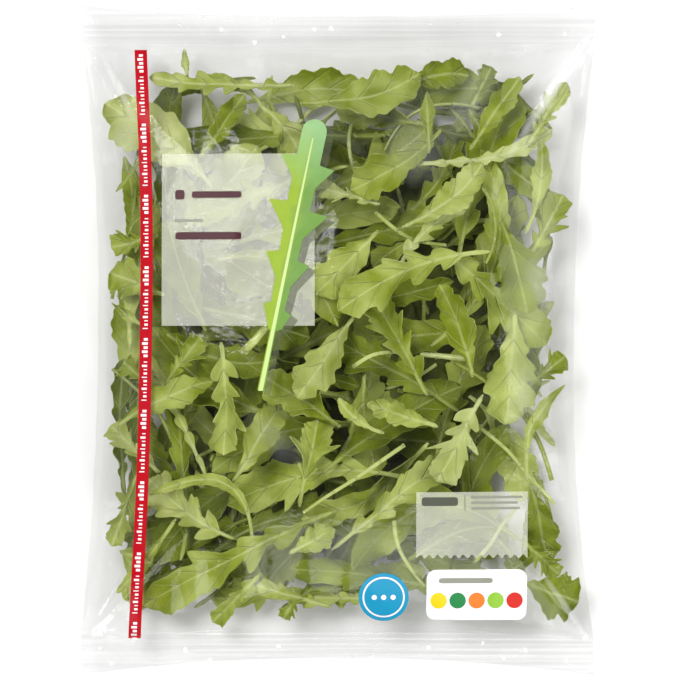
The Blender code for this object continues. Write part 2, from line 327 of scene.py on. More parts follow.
def ink(name, colour, alpha=1.0, roughness=0.32, mottle=0.04):
    """Printed ink: an even colour with the faint mottle of the printing plate, glossy under film."""
    made, tree, output = new_material(name)
    place = add_node(tree, "TexCoord").outputs["Object"]
    grain = {"Vector": place, "Scale": repeats(MOTTLE_SIZE), "Detail": 3.0}
    grain = add_node(tree, "TexNoise", grain).outputs[0]
    value = add_node(tree, "MapRange", {0: grain, 3: 1 - mottle, 4: 1 + mottle}).outputs[0]
    tone = {"Color": linear(colour), "Value": value}
    tone = add_node(tree, "HueSaturation", tone).outputs[0]
    crinkle = {"Vector": place, "Scale": repeats(CRINKLE_SIZE)}
    crinkle = add_node(tree, "TexNoise", crinkle).outputs[0]
    bump = add_node(tree, "Bump", {"Height": crinkle, "Distance": 0.0003, "Strength": 0.4}).outputs[0]
    look = {"Base Color": tone, "Roughness": roughness, "IOR": 1.49, "Normal": bump}
    finish = add_node(tree, "BsdfPrincipled", {**look, "Specular IOR Level": 0.12}).outputs[0]
    if alpha < 1:
        bare = add_node(tree, "BsdfTransparent").outputs[0]
        finish = add_node(tree, "MixShader", {0: alpha, 1: bare, 2: finish}).outputs[0]
    tree.links.new(finish, output.inputs[0])
    return made


def lay_on_film(bm, place, lift=INK_LIFT):
    """Lays a grid's points on the film, where place(u, v) says, with u and v from -1 to 1."""
    for vert in bm.verts:
        x, y = place(vert.co.x, vert.co.y)
        hit = skin.ray_cast(Vector((x, y, 1)), Vector((0, 0, -1)))[0]
        vert.co = hit + Vector((0, 0, lift))


def print_field(name, fields, material, lift=INK_LIFT):
    """One printed piece of one or more fields, each given as columns, rows and its place(u, v)."""
    whole = bmesh.new()
    for columns, rows, place in fields:
        field = bmesh.new()
        bmesh.ops.create_grid(field, x_segments=columns, y_segments=rows, size=1)
        layer = field.loops.layers.uv.new("field")
        for face in field.faces:
            for loop in face.loops:
                loop[layer].uv = loop.vert.co.xy
        lay_on_film(field, place, lift)
        part = mesh_from(name, field)
        whole.from_mesh(part)
        bpy.data.meshes.remove(part)
    raised = bmesh.ops.extrude_face_region(whole, geom=whole.faces[:])["geom"]
    tops = [item for item in raised if isinstance(item, bmesh.types.BMVert)]
    bmesh.ops.translate(whole, verts=tops, vec=(0, 0, INK_THICKNESS))
    bmesh.ops.recalc_face_normals(whole, faces=whole.faces[:])
    mesh = mesh_from(name, whole)
    mesh.shade_smooth()
    mesh.set_sharp_from_angle(angle=math.radians(50))
    made = object_from(name, mesh, material)
    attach(made, "root")
    return made


def panel(x, y, half_x, half_y):
    return lambda u, v: (x + u * half_x, y + v * half_y)


def rounded(x, y, half_x, half_y, corner):
    """A panel with round corners: the cells over each corner are drawn in to its arc."""

    def place(u, v):
        px, py = u * half_x, v * half_y
        over_x, over_y = abs(px) - (half_x - corner), abs(py) - (half_y - corner)
        if over_x > 0 and over_y > 0:
            round_x = over_x * math.sqrt(1 - (over_y / corner) ** 2 / 2)
            round_y = over_y * math.sqrt(1 - (over_x / corner) ** 2 / 2)
            px = math.copysign(half_x - corner + round_x, px)
            py = math.copysign(half_y - corner + round_y, py)
        return x + px, y + py

    return place


def disc(x, y, radius):
    return lambda u, v: (
        x + radius * u * math.sqrt(1 - v * v / 2),
        y + radius * v * math.sqrt(1 - u * u / 2),
    )


# The red stripe
# Real piece: one solid red line down the left of the front, with small white marks along it. The
# marks here are plain bars: a short bold group, then a long fine one, over and over.
STRIPE_PLACE, STRIPE_LEAN, STRIPE_WIDTH = 0.79, 0.022, 0.0061
STRIPE_TOP, STRIPE_BOTTOM = 0.1424, -0.1466
MARK_REPEAT, MARK_START = 0.0348, 0.1395
BOLD_MARKS, BOLD_PITCH, BOLD_HALF = 5, 0.0020, (0.0010, 0.00062)
FINE_MARKS, FINE_PITCH, FINE_HALF = 11, 0.00185, (0.00085, 0.00026)
TALL_SHIFT = 0.0004
MARK_LIFT = 0.0004


def stripe_middle(y):
    t = np.array(y / (FLAT_HEIGHT / 2))
    return float(waist_shift(t) - (STRIPE_PLACE - STRIPE_LEAN * max(t, 0) ** 2) * half_width(t))


def stripe_place(u, v):
    y = STRIPE_BOTTOM + (v + 1) / 2 * (STRIPE_TOP - STRIPE_BOTTOM)
    return stripe_middle(y) + u * STRIPE_WIDTH / 2, y


red_ink = ink("red_flexographic_ink", "#b4081c")
stripe = print_field("stripe_print", [(4, 210, stripe_place)], red_ink)
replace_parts(stripe, "stripe")
marks = []
for group in range(9):
    top = MARK_START - group * MARK_REPEAT
    for count in range(BOLD_MARKS):
        y = top - count * BOLD_PITCH
        shift = TALL_SHIFT * (count % 2)
        marks.append((1, 1, panel(stripe_middle(y) - shift, y, BOLD_HALF[0] + shift, BOLD_HALF[1])))
    for count in range(FINE_MARKS):
        y = top - BOLD_MARKS * BOLD_PITCH - 0.0010 - count * FINE_PITCH
        if y > STRIPE_BOTTOM + 0.001:
            shift = TALL_SHIFT * (count % 3 == 1)
            half = (FINE_HALF[0] + shift, FINE_HALF[1] * (1 + count % 2))
            marks.append((1, 1, panel(stripe_middle(y) - shift, y, *half)))
pale_ink = ink("white_flexographic_ink", "#f6f1f2", mottle=0.02)
print_field("stripe_marks", marks, pale_ink, MARK_LIFT)

# The front panel
# Real piece: a see-through white field at the upper left, one thin coat of white ink, with dark
# red print on it. The print here is plain bars.
FRONT_PANEL = (-0.0486, 0.0486, 0.0371, 0.0417)
VEIL_ALPHA = 0.21
FRONT_BARS = (
    (-0.0769, 0.0704, 0.0023, 0.0023, 0.0011),
    (-0.0590, 0.0704, 0.0120, 0.0016, 0.0008),
    (-0.0630, 0.0504, 0.0160, 0.0018, 0.0009),
)
NOTE_BAR = (-0.0724, 0.0579, 0.0070, 0.0007, 0.0006)

veil_ink = ink("thin_white_veil_ink", "#fbfcee", VEIL_ALPHA, 0.4, 0.02)
front = print_field("front_panel_print", [(56, 62, panel(*FRONT_PANEL))], veil_ink)
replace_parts(front, "front_panel")
maroon_ink = ink("maroon_flexographic_ink", "#42101c")
bars = [(14, 4, rounded(*bar)) for bar in FRONT_BARS]
print_field("front_bars", bars, maroon_ink, MARK_LIFT)
grey_ink = ink("grey_flexographic_ink", "#8f9284")
print_field("front_note_bar", [(10, 2, rounded(*NOTE_BAR))], grey_ink, MARK_LIFT)

# The leaf picture
# Real piece: a printed rocket leaf that overlaps the panel's right edge. This one is a plain leaf of
# the maker's own drawing, from two greens, a pale midrib and a soft shadow to its right.
LEAF_FOOT, LEAF_TIP = (-0.0376, -0.0245), (-0.0105, 0.1070)
LEAF_STALK_HALF, LEAF_STALK_TAPER = 0.0016, 0.6
LEAF_BLADE_HALF, LEAF_BLADE_START = 0.0158, 0.22
LEAF_LOBES = ((0.07, 0.45), (0.30, 0.70), (0.53, 0.95), (0.75, 0.85))
LEAF_LOBE_RISE, LEAF_LOBE_FALL = 0.17, 0.055
LEAF_LOBE_SHIFT, LEAF_LOBE_LEAN = 0.03, 0.028
LEAF_WEB, LEAF_WEB_GROWTH, LEAF_ROUND_START = 0.20, 0.18, 0.955
PICTURE_LIFT, SHADOW_LIFT, RIB_LIFT = 0.0005, 0.00036, 0.00064
SHADOW_SHIFT = (0.0030, -0.0022)


def picture_half(along, u):
    """Half the picture's width at a share of its length, and how far a lobe stands out there."""
    stalk = LEAF_STALK_HALF * (1 - LEAF_STALK_TAPER * along)
    blade = (along - LEAF_BLADE_START) / (1 - LEAF_BLADE_START)
    if blade <= 0:
        return stalk, 0
    spot = blade - (LEAF_LOBE_SHIFT if u < 0 else 0)
    lobe = 0
    for middle, size in LEAF_LOBES:
        length = LEAF_LOBE_RISE if spot < middle else LEAF_LOBE_FALL
        lobe = max(lobe, size * max(1 - abs(spot - middle) / length, 0) ** 1.2)
    web = (LEAF_WEB + LEAF_WEB_GROWTH * min(blade * 1.6, 1)) * min(blade * 12, 1)
    return max(stalk, LEAF_BLADE_HALF * max(web, lobe)), lobe


def picture_place(u, v, shift=(0, 0), narrow=1):
    """The picture's outline, from its stalk at v = -1 to its round tip at v = 1."""
    foot = Vector(LEAF_FOOT)
    run = Vector(LEAF_TIP) - foot
    side = Vector((run.y, -run.x)).normalized()
    along = (v + 1) / 2
    half, lobe = picture_half(along, u)
    if along > LEAF_ROUND_START:
        past = (along - LEAF_ROUND_START) / (1 - LEAF_ROUND_START)
        half *= math.sqrt(max(1 - past**2, 0.02))
    lean = LEAF_LOBE_LEAN * lobe * abs(u)
    point = foot + run * min(along + lean, 1) + side * u * half * narrow
    return point.x + shift[0], point.y + shift[1]


def shadow_place(u, v):
    return picture_place(u, v, SHADOW_SHIFT, 1.05)


def rib_place(u, v):
    """The midrib: a narrow line from the stalk almost to the tip."""
    x, y = picture_place(0, min(v, 0.86))
    return x + u * 0.0011 * (1 - 0.72 * (v + 1) / 2), y


# Printed greens: bright yellow-green left of the midrib and deeper green right of it, paling to
# blue-green at the tip, as a halftone gives them.
leaf_ink, tree, output = new_material("leaf_green_halftone_ink")
field = add_node(tree, "UVMap", uv_map="field").outputs[0]
parts = add_node(tree, "SeparateXYZ", {0: field})
side = add_node(tree, "MapRange", {0: parts.outputs[0], 1: -0.35, 2: 0.35}).outputs[0]
greens = {"Fac": side, "Color1": linear("#90ab2c"), "Color2": linear("#6c9440")}
body = add_node(tree, "MixRGB", greens).outputs[0]
tip = add_node(tree, "MapRange", {0: parts.outputs[1], 1: 0.45, 2: 1.0}).outputs[0]
body = add_node(tree, "MixRGB", {"Fac": tip, "Color1": body, "Color2": linear("#94bd84")}).outputs[0]
place = add_node(tree, "TexCoord").outputs["Object"]
cells = {"Vector": place, "Scale": repeats(HALFTONE_SIZE), "Detail": 4.0}
cells = add_node(tree, "TexNoise", cells).outputs[0]
value = add_node(tree, "MapRange", {0: cells, 3: 0.86, 4: 1.12}).outputs[0]
body = add_node(tree, "HueSaturation", {"Color": body, "Value": value}).outputs[0]
look = {"Base Color": body, "Roughness": 0.4, "IOR": 1.49, "Specular IOR Level": 0.15}
finish = add_node(tree, "BsdfPrincipled", look).outputs[0]
tree.links.new(finish, output.inputs[0])
shadow_ink = ink("grey_shadow_ink", "#5c6350", 0.24, 0.5, 0.02)
rib_ink = ink("pale_rib_ink", "#c3d98c", mottle=0.02)

picture = [(10, 200, picture_place)]
picture = print_field("leaf_picture_print", picture, leaf_ink, PICTURE_LIFT)
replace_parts(picture, "leaf_picture")
print_field("leaf_shadow_print", [(10, 200, shadow_place)], shadow_ink, SHADOW_LIFT)
print_field("leaf_rib_print", [(2, 90, rib_place)], rib_ink, RIB_LIFT)

# The weight panel
# Real piece: a smaller see-through white field at the lower right, its lower edge cut in scallops,
# with dark grey print. The print here is plain bars.
WEIGHT_PANEL = (0.0648, -0.0894, 0.0272, 0.0158)
SCALLOPS, SCALLOP_DEPTH = 13, 0.0009
WEIGHT_BAR = (0.0490, -0.0782, 0.0088, 0.0021, 0.0010)
DIVIDER = (0.0612, -0.0790, 0.00025, 0.0038)
SMALL_BARS = ((0.0768, 0.0125), (0.0756, 0.0113), (0.0762, 0.0119))
SMALL_BAR_TOP, SMALL_BAR_STEP = -0.0762, 0.0027


def scalloped(u, v):
    x, y, half_x, half_y = WEIGHT_PANEL
    wave = SCALLOP_DEPTH * math.cos(u * SCALLOPS * math.pi) * (1 - v) / 2
    return x + u * half_x, y + v * half_y + wave


weight = [(8 * SCALLOPS, 24, scalloped)]
weight = print_field("weight_panel_print", weight, veil_ink)
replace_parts(weight, "weight_panel")
small = [(1, 4, panel(*DIVIDER))]
for row, (x, half) in enumerate(SMALL_BARS):
    small.append((14, 1, panel(x, SMALL_BAR_TOP - row * SMALL_BAR_STEP, half, 0.00055)))
print_field("weight_small_bars", small, grey_ink, MARK_LIFT)
dark_ink = ink("dark_grey_ink", "#54574c")
print_field("weight_bar", [(12, 3, rounded(*WEIGHT_BAR))], dark_ink, MARK_LIFT)

# The round mark
# Real piece: a disc of solid blue ink with white print. Here it has a plain white ring and a row of
# three dots.
ROUND_MARK = (0.0220, -0.1255, 0.0122)
RING_RADIUS, RING_HALF = 0.0099, 0.00042
DOT_RADIUS, DOT_PITCH = 0.0013, 0.0046


def ring(u, v):
    """A ring whose two ends meet: v runs round it and u across it."""
    radius, turn = RING_RADIUS + u * RING_HALF, -math.pi * v
    return ROUND_MARK[0] + radius * math.cos(turn), ROUND_MARK[1] + radius * math.sin(turn)


blue_ink = ink("blue_flexographic_ink", "#1c94bd")
disc_print = print_field("round_mark_print", [(24, 24, disc(*ROUND_MARK))], blue_ink)
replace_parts(disc_print, "round_mark")
dots = [(1, 72, ring)]
for step in (-1, 0, 1):
    dots.append((4, 4, disc(ROUND_MARK[0] + step * DOT_PITCH, ROUND_MARK[1], DOT_RADIUS)))
print_field("round_mark_ring", dots, pale_ink, MARK_LIFT)

# The colour mark
# Real piece: a white field with round corners and five fields of solid colour. Here they are five
# equal dots under a plain grey bar.
COLOUR_MARK = (0.0674, -0.1244, 0.0245, 0.0127)
COLOUR_MARK_CORNER = 0.0045
COLOUR_DOT_RADIUS, COLOUR_DOT_PITCH, COLOUR_DOT_DROP = 0.0040, 0.0093, 0.0028
COLOUR_DOTS = (("yellow", "#f7cf17"), ("green", "#1d8343"), ("orange", "#e37b26"))
COLOUR_DOTS += (("lime", "#8fc13c"), ("red", "#cf2318"))
HEADING_BAR = (0.0620, -0.1172, 0.0132, 0.0013, 0.0010)

white_ink = ink("opaque_white_ink", "#fbfbfb", mottle=0.01)
white = [(36, 22, rounded(*COLOUR_MARK, COLOUR_MARK_CORNER))]
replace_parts(print_field("colour_mark_print", white, white_ink), "colour_mark")
for count, (name, colour) in enumerate(COLOUR_DOTS):
    x = COLOUR_MARK[0] + (count - 2) * COLOUR_DOT_PITCH
    dot = [(10, 10, disc(x, COLOUR_MARK[1] - COLOUR_DOT_DROP, COLOUR_DOT_RADIUS))]
    print_field(f"{name}_dot", dot, ink(f"{name}_ink", colour), MARK_LIFT)
heading = [(14, 2, rounded(*HEADING_BAR))]
print_field("heading_bar", heading, grey_ink, MARK_LIFT)

# The leaves
# Real piece: rocket leaves, 40 to 150 mm long, each a thin blade with deep side lobes or a waved
# edge, on a pale ribbed stalk. Each leaf here is a thin solid with its own lobes, bow, twist and
# ruffles. It is let down under the film, or under the leaves before it, until it fits.
LEAF_SEED = 20
BLADE_THICKNESS = 0.00034
RIB_THICKNESS = 0.0009
STALK_HALF = 0.0010
FOOT_SINK = 0.006
LEAF_SWAY, LEAF_BOW, LEAF_TILT, LEAF_ROLL = 0.012, 0.04, 0.06, 0.26
TIP_DROOP = (-0.02, 0.09)
FOLD_RISE, FOLD_ROUND = (-0.3, 1.15), 0.002
FLUTE_HEIGHT, FLUTE_SPANS = 0.0005, (0.011, 0.018)
FILM_GAP = 0.0011
LEAF_GAP = 0.0002
CELL = 0.001
GRID_HALF = (0.130, 0.168)
MOST_PIECE_TRIANGLES = 185_000
KIND_SHAPES = {
    # kind: lobe pairs, depth of the sinuses, lean of the lobes, stalk share, ruffle height
    "lobed": (3, 0.62, 0.62, 0.13, 0.0026),
    "broad": (3, 0.24, 0.26, 0.07, 0.0030),
    "sprig": (5, 0.72, 0.40, 0.08, 0.0014),
    "strap": (2, 0.22, 0.20, 0.16, 0.0012),
    "stalk": (0, 0.0, 0.0, 0.96, 0.0),
}
TWIST = {"lobed": 0.6, "broad": 0.5, "sprig": 0.6, "strap": 0.9, "stalk": 0.0}


def film_fields():
    """Heights of the upper and the lower film over a grid of the table, and where there is film."""
    xs = np.arange(-GRID_HALF[0], GRID_HALF[0] + CELL / 2, CELL)
    ys = np.arange(-GRID_HALF[1], GRID_HALF[1] + CELL / 2, CELL)
    x, y = np.meshgrid(xs, ys, indexing="ij")
    t, across = y / (FLAT_HEIGHT / 2), np.zeros_like(x)
    for _ in range(8):
        across = np.clip((x - waist_shift(t)) / half_width(t), -1, 1)
        t = np.clip((y + end_pull(across, t)) / (FLAT_HEIGHT / 2), -1, 1)
    top = film_places(across, t, True, fine=False)[2]
    bottom = film_places(across, t, False, fine=False)[2]
    inside = (np.abs(across) < 0.995) & (np.abs(t) < seal_start)
    return top, bottom, inside


film_top, film_bottom, film_inside = film_fields()
under_film = film_top - FILM_GAP
over_film = film_bottom + FILM_GAP


def read_field(field, x, y):
    """The height that a field gives at each place, between its cells."""
    i = np.clip((x + GRID_HALF[0]) / CELL, 0, field.shape[0] - 1.001)
    j = np.clip((y + GRID_HALF[1]) / CELL, 0, field.shape[1] - 1.001)
    a, b = i.astype(int), j.astype(int)
    p, q = i - a, j - b
    low = field[a, b] * (1 - q) + field[a, b + 1] * q
    high = field[a + 1, b] * (1 - q) + field[a + 1, b + 1] * q
    return low * (1 - p) + high * p


def waves(along, draw, cycles, count=3):
    """A smooth random curve along the leaf, from about -1 to 1."""
    total = np.zeros_like(along)
    for _ in range(count):
        total += np.sin(math.tau * (cycles * draw.uniform(0.5, 1.5) * along + draw.random()))
    return total / count * 1.3


def margin(kind, along, draw):
    """Half the blade's width at each place along it, as a share of the leaf's half width."""
    pairs, depth = KIND_SHAPES[kind][:2]
    if kind == "stalk":
        return np.zeros_like(along)
    if kind in ("lobed", "sprig"):
        tip_length = draw.uniform(0.34, 0.5) if kind == "lobed" else draw.uniform(0.2, 0.28)
        middle = 1 - tip_length * 0.5
        past = along > middle
        aside = np.where(past, (along - middle) / (1 - middle), (middle - along) / (middle * 0.5))
        half = draw.uniform(0.5, 0.8) * np.clip(1 - aside**2, 0, 1) ** 0.7
        spacing = (1 - tip_length * 0.75) / (pairs + 0.4)
        for count in range(pairs):
            centre = spacing * (count + 0.75 + draw.uniform(-0.2, 0.2))
            size = draw.uniform(0.6, 1.1) * (0.35 + 0.65 * (count + 1) / pairs)
            aside = (along - centre) / (spacing * draw.uniform(0.3, 0.5))
            aside = np.where(aside < 0, aside * 0.8, aside * 1.25)
            lobe = np.clip(1 - np.abs(aside) ** draw.uniform(1.4, 2.2), 0, 1) ** draw.uniform(0.6, 1.0)
            half = np.maximum(half, size * lobe)
        web = (1 - depth) * np.clip(along * 1.9, 0, 1) ** 0.8 * np.clip((1 - along) * 9, 0, 1)
        half = np.sqrt(np.sqrt(half**4 + web**4))
    else:
        peak = draw.uniform(0.52, 0.66)
        rise = np.sin(math.pi / 2 * np.clip(along / peak, 0, 1)) ** 1.15
        fall = np.clip(1 - ((along - peak) / (1 - peak)) ** 2, 0, 1) ** 0.62
        half = np.where(along < peak, rise, fall)
        wave = 0.5 + 0.5 * np.cos(math.tau * (along * pairs * draw.uniform(0.8, 1.4) + draw.random()))
        half = half * (1 - depth * wave**3)
    tooth = np.abs(np.sin(math.pi * (along * draw.uniform(6, 11) + 0.06 * waves(along, draw, 3.0))))
    half = half * (1 - 0.09 * tooth**3 - 0.04 * waves(along, draw, 9.0))
    return half * (1 + 0.08 * waves(along, draw, 3.0))


def leaf_sheet(kind, foot, tip, width, bend, draw, rows, fine):
    """The middle sheet of one leaf: its points, thickness, and width and length places in mm."""
    _, _, lean, stalk_share, ruffle = KIND_SHAPES[kind]
    stalk_rows = max(int(rows * (1 if kind == "stalk" else 0.16)), 3)
    stalk = np.linspace(0, stalk_share, stalk_rows, endpoint=False)
    s = np.concatenate([stalk, np.linspace(stalk_share, 1, rows - stalk_rows + 1)])
    blade = np.clip((s - stalk_share) / (1 - stalk_share), 0, 1)
    foot, tip = np.array(foot), np.array(tip)
    run = tip - foot
    left = np.array([-run[1], run[0]])
    middle = foot + np.outer(s, run) + np.outer(4 * bend * s * (1 - s), left)
    sway = waves(s, draw, 1.1) * LEAF_SWAY * np.hypot(*run)
    middle += np.outer(sway * s * (1 - s) * 4, left / np.hypot(*left))
    steps = np.gradient(middle, axis=0)
    length = np.concatenate([[0], np.cumsum(np.hypot(*np.diff(middle, axis=0).T))])
    steps /= np.hypot(*steps.T)[:, None]
    normal = np.stack([-steps[:, 1], steps[:, 0]], 1)
    stalk_half = STALK_HALF * (1.15 - 0.75 * s) * min(1, 0.5 + width / 0.02)
    stalk_half *= np.clip(0.35 + s / 0.07, 0, 1)
    if kind == "stalk":
        stalk_half = width / 2 * (1 - 0.25 * s)
    taper = np.sqrt(np.clip((1 - s) / 0.012, 0.03, 1))
    halves = [np.maximum(margin(kind, blade, draw) * width / 2, stalk_half) * taper for _ in range(2)]
    shares = np.array([0.3, 0.6, 0.86, 1]) if fine else np.array([0.55, 1])
    rib = np.minimum(stalk_half, 0.0009)
    columns = [halves[0] * share for share in shares[::-1]]
    columns += [np.minimum(rib, halves[0] * 0.24), 0 * rib, -np.minimum(rib, halves[1] * 0.24)]
    columns += [-halves[1] * share for share in shares]
    q = np.stack(columns, 1)
    half = np.where(q > 0, halves[0][:, None], halves[1][:, None])
    edge = np.abs(q) / half
    on_blade = np.clip(blade * 8, 0, 1)[:, None]
    long = np.hypot(*run)
    # The two halves rise from the midrib, with low flutes across them, and the whole leaf bows.
    z = draw.uniform(*FOLD_RISE) * (np.sqrt(q**2 + FOLD_ROUND**2) - FOLD_ROUND)
    swing = math.tau * (q / draw.uniform(*FLUTE_SPANS) + 0.4 * waves(s, draw, 2.0)[:, None])
    z += FLUTE_HEIGHT * on_blade * edge * np.sin(swing + math.tau * draw.uniform(2, 4) * s[:, None])
    bow = waves(s, draw, 1.0) * long * LEAF_BOW
    z += (bow + draw.normal(0, LEAF_TILT) * (s - 0.5) * long)[:, None]
    z -= (FOOT_SINK * np.clip(1 - s / 0.3, 0, 1) ** 2)[:, None]
    z -= (draw.uniform(*TIP_DROOP) * long * s**3)[:, None]
    # Each edge has its own ruffles, and leans up or down on its own.
    for sign in (-1, 1):
        on_side = np.where(np.sign(q) == sign, 1, 0) * on_blade
        z += on_side * edge**2 * (waves(s, draw, 3.2) * ruffle * (width / 0.02) ** 0.5)[:, None]
        z += on_side * np.abs(q) * (waves(s, draw, 2.0) * 0.3)[:, None]
    roll = (draw.normal(0, LEAF_ROLL) + waves(s, draw, 0.6) * TWIST[kind])[:, None]
    if kind == "stalk":
        roll = 0 * roll
    lean_by = lean * np.abs(q) * on_blade * np.clip((1 - s) * 6, 0, 1)[:, None]
    flat = middle[:, None] + normal[:, None] * (q * np.cos(roll))[..., None]
    flat += steps[:, None] * lean_by[..., None]
    z += q * np.sin(roll)
    thick = np.full_like(q, BLADE_THICKNESS)
    rib_here = RIB_THICKNESS * (1.05 - s)[:, None] ** 1.5 * min(1, 0.4 + width / 0.03)
    thick += rib_here * np.exp(-((q / 0.0009) ** 2))
    if kind == "stalk":
        thick = width * 0.8 * np.sqrt(np.clip(1 - (q / half) ** 2, 0.05, 1))
    places = np.stack([q * 1000, np.broadcast_to((length * 1000)[:, None], q.shape)], -1)
    return np.concatenate([flat, z[..., None]], -1), thick, places


def slide_min(values, reach):
    """The least value within reach rows each way, then smoothed so that it stays as low."""
    padded = np.pad(values, reach, mode="edge")
    least = np.lib.stride_tricks.sliding_window_view(padded, 2 * reach + 1).min(1)
    padded = np.pad(least, reach, mode="edge")
    return np.lib.stride_tricks.sliding_window_view(padded, 2 * reach + 1).mean(1)


def lower_leaf(sheet, thick, ceiling, bed, supple):
    """Lets a leaf down from the ceiling: stiff where supple is 0, and lying along it where 1."""
    x, y, z = sheet[..., 0], sheet[..., 1], sheet[..., 2]
    room = read_field(ceiling, x, y) - thick / 2 - z
    row_room = room.min(1)
    least = row_room.min()
    reach = max(len(row_room) // 9, 2)
    drop = least + supple * (slide_min(row_room, reach) - least)
    z = z + drop[:, None]
    lowest = read_field(bed, x, y) + thick / 2
    tight = read_field(ceiling, x, y) - thick / 2 < lowest
    return np.maximum(z, lowest), tight.mean()


def stamp(field, sheet, thick):
    """Marks the space below a leaf as taken."""
    points = np.stack([sheet[..., 0], sheet[..., 1], sheet[..., 2] - thick / 2 - LEAF_GAP], -1)
    for axis in (0, 1):
        for _ in range(2 if axis else 1):
            middle = (np.delete(points, 0, axis) + np.delete(points, -1, axis)) / 2
            size = points.shape[axis] + middle.shape[axis]
            order = np.argsort(np.r_[0 : size : 2, 1 : size : 2], kind="stable")
            points = np.take(np.concatenate([points, middle], axis), order, axis)
    i = np.clip(np.rint((points[..., 0] + GRID_HALF[0]) / CELL).astype(int), 0, field.shape[0] - 1)
    j = np.clip(np.rint((points[..., 1] + GRID_HALF[1]) / CELL).astype(int), 0, field.shape[1] - 1)
    np.minimum.at(field, (i, j), points[..., 2])


def leaf_shell(rows, columns):
    """A flat closed sheet of cells, and the side, row and column of each of its corners."""
    shell = bmesh.new()
    bmesh.ops.create_grid(shell, x_segments=columns - 1, y_segments=rows - 1, size=1)
    raised = bmesh.ops.extrude_face_region(shell, geom=shell.faces[:])["geom"]
    tops = [item for item in raised if isinstance(item, bmesh.types.BMVert)]
    bmesh.ops.translate(shell, verts=tops, vec=(0, 0, 1))
    bmesh.ops.recalc_face_normals(shell, faces=shell.faces)
    places = np.array([vert.co for vert in shell.verts])
    under = np.array([face.normal.z < 0.5 for face in shell.faces])
    mesh = mesh_from("leaf_shell", shell)
    row = np.rint((places[:, 1] + 1) / 2 * (rows - 1)).astype(int)
    column = np.rint((places[:, 0] + 1) / 2 * (columns - 1)).astype(int)
    return mesh, under, (np.rint(places[:, 2]).astype(int), row, column)


class LeafPile:
    """Leaves of one kind, gathered into meshes of at most a set number of triangles each."""

    shells = {}

    def __init__(self, name):
        self.name, self.parts, self.count = name, [], 0

    def add(self, sheet, thick, places, tone, flipped):
        if thick.shape not in self.shells:
            self.shells[thick.shape] = leaf_shell(*thick.shape)
        shell, under, corners = self.shells[thick.shape]
        along, over = np.gradient(sheet, axis=0), np.gradient(sheet, axis=1)
        out = np.cross(over, along)
        out /= np.linalg.norm(out, axis=-1, keepdims=True) + 1e-12
        smooth_side, rib_side = out * BLADE_THICKNESS / 2, out * (thick - BLADE_THICKNESS / 2)[..., None]
        if flipped:
            sides = np.stack([sheet - smooth_side, sheet + rib_side])
        else:
            sides = np.stack([sheet - rib_side, sheet + smooth_side])
        size = 4 * thick.size
        if not self.parts or self.count + size > MOST_PIECE_TRIANGLES:
            self.parts.append([])
            self.count = 0
        self.count += size
        uv = np.broadcast_to(places, (2, *places.shape))
        tones = np.full(len(corners[0]), tone)
        self.parts[-1].append((shell, sides[corners], under != flipped, uv[corners], tones))

    def build(self, *materials):
        for number, leaves in enumerate(self.parts):
            whole = bmesh.new()
            for leaf in leaves:
                whole.from_mesh(leaf[0])
            name = f"{self.name}_{number + 1}"
            mesh = mesh_from(name, whole)
            joined = (np.concatenate([leaf[k] for leaf in leaves]) for k in (1, 2, 3, 4))
            points, under, places, tones = joined
            mesh.vertices.foreach_set("co", points.ravel())
            mesh.polygons.foreach_set("material_index", under.astype(int))
            corners = np.empty(len(mesh.loops), int)
            mesh.loops.foreach_get("vertex_index", corners)
            mesh.uv_layers.new(name="leaf_mm").data.foreach_set("uv", places[corners].ravel())
            mesh.attributes.new("tone", "FLOAT", "POINT").data.foreach_set("value", tones)
            mesh.shade_smooth()
            mesh.set_sharp_from_angle(angle=math.radians(50))
            made = object_from(name, mesh, *materials)
            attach(made, "root")
            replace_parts(made, "bag")


# Fresh leaf skin: a soft satin green, yellower on some leaves, with a pale midrib, side veins that
# lean to the tip, and a fine net of veins. The underside is paler and duller.
LEAF_GLOW, GLOW_SHARE = "#a8c01c", 0.2
# Millimetres: lighter and darker patches, partly the skin's own blotches and partly painted shade;
# the veins' wander and spacing, the net's cells and blisters.
BLOTCH_AND_SHADE_SIZE, WANDER_SIZE, WANDER, VEIN_SPACING = 18.2, 11.1, 2.2, 14.0
NET_SIZE, BLISTER_SIZE = 1.82, 6.67


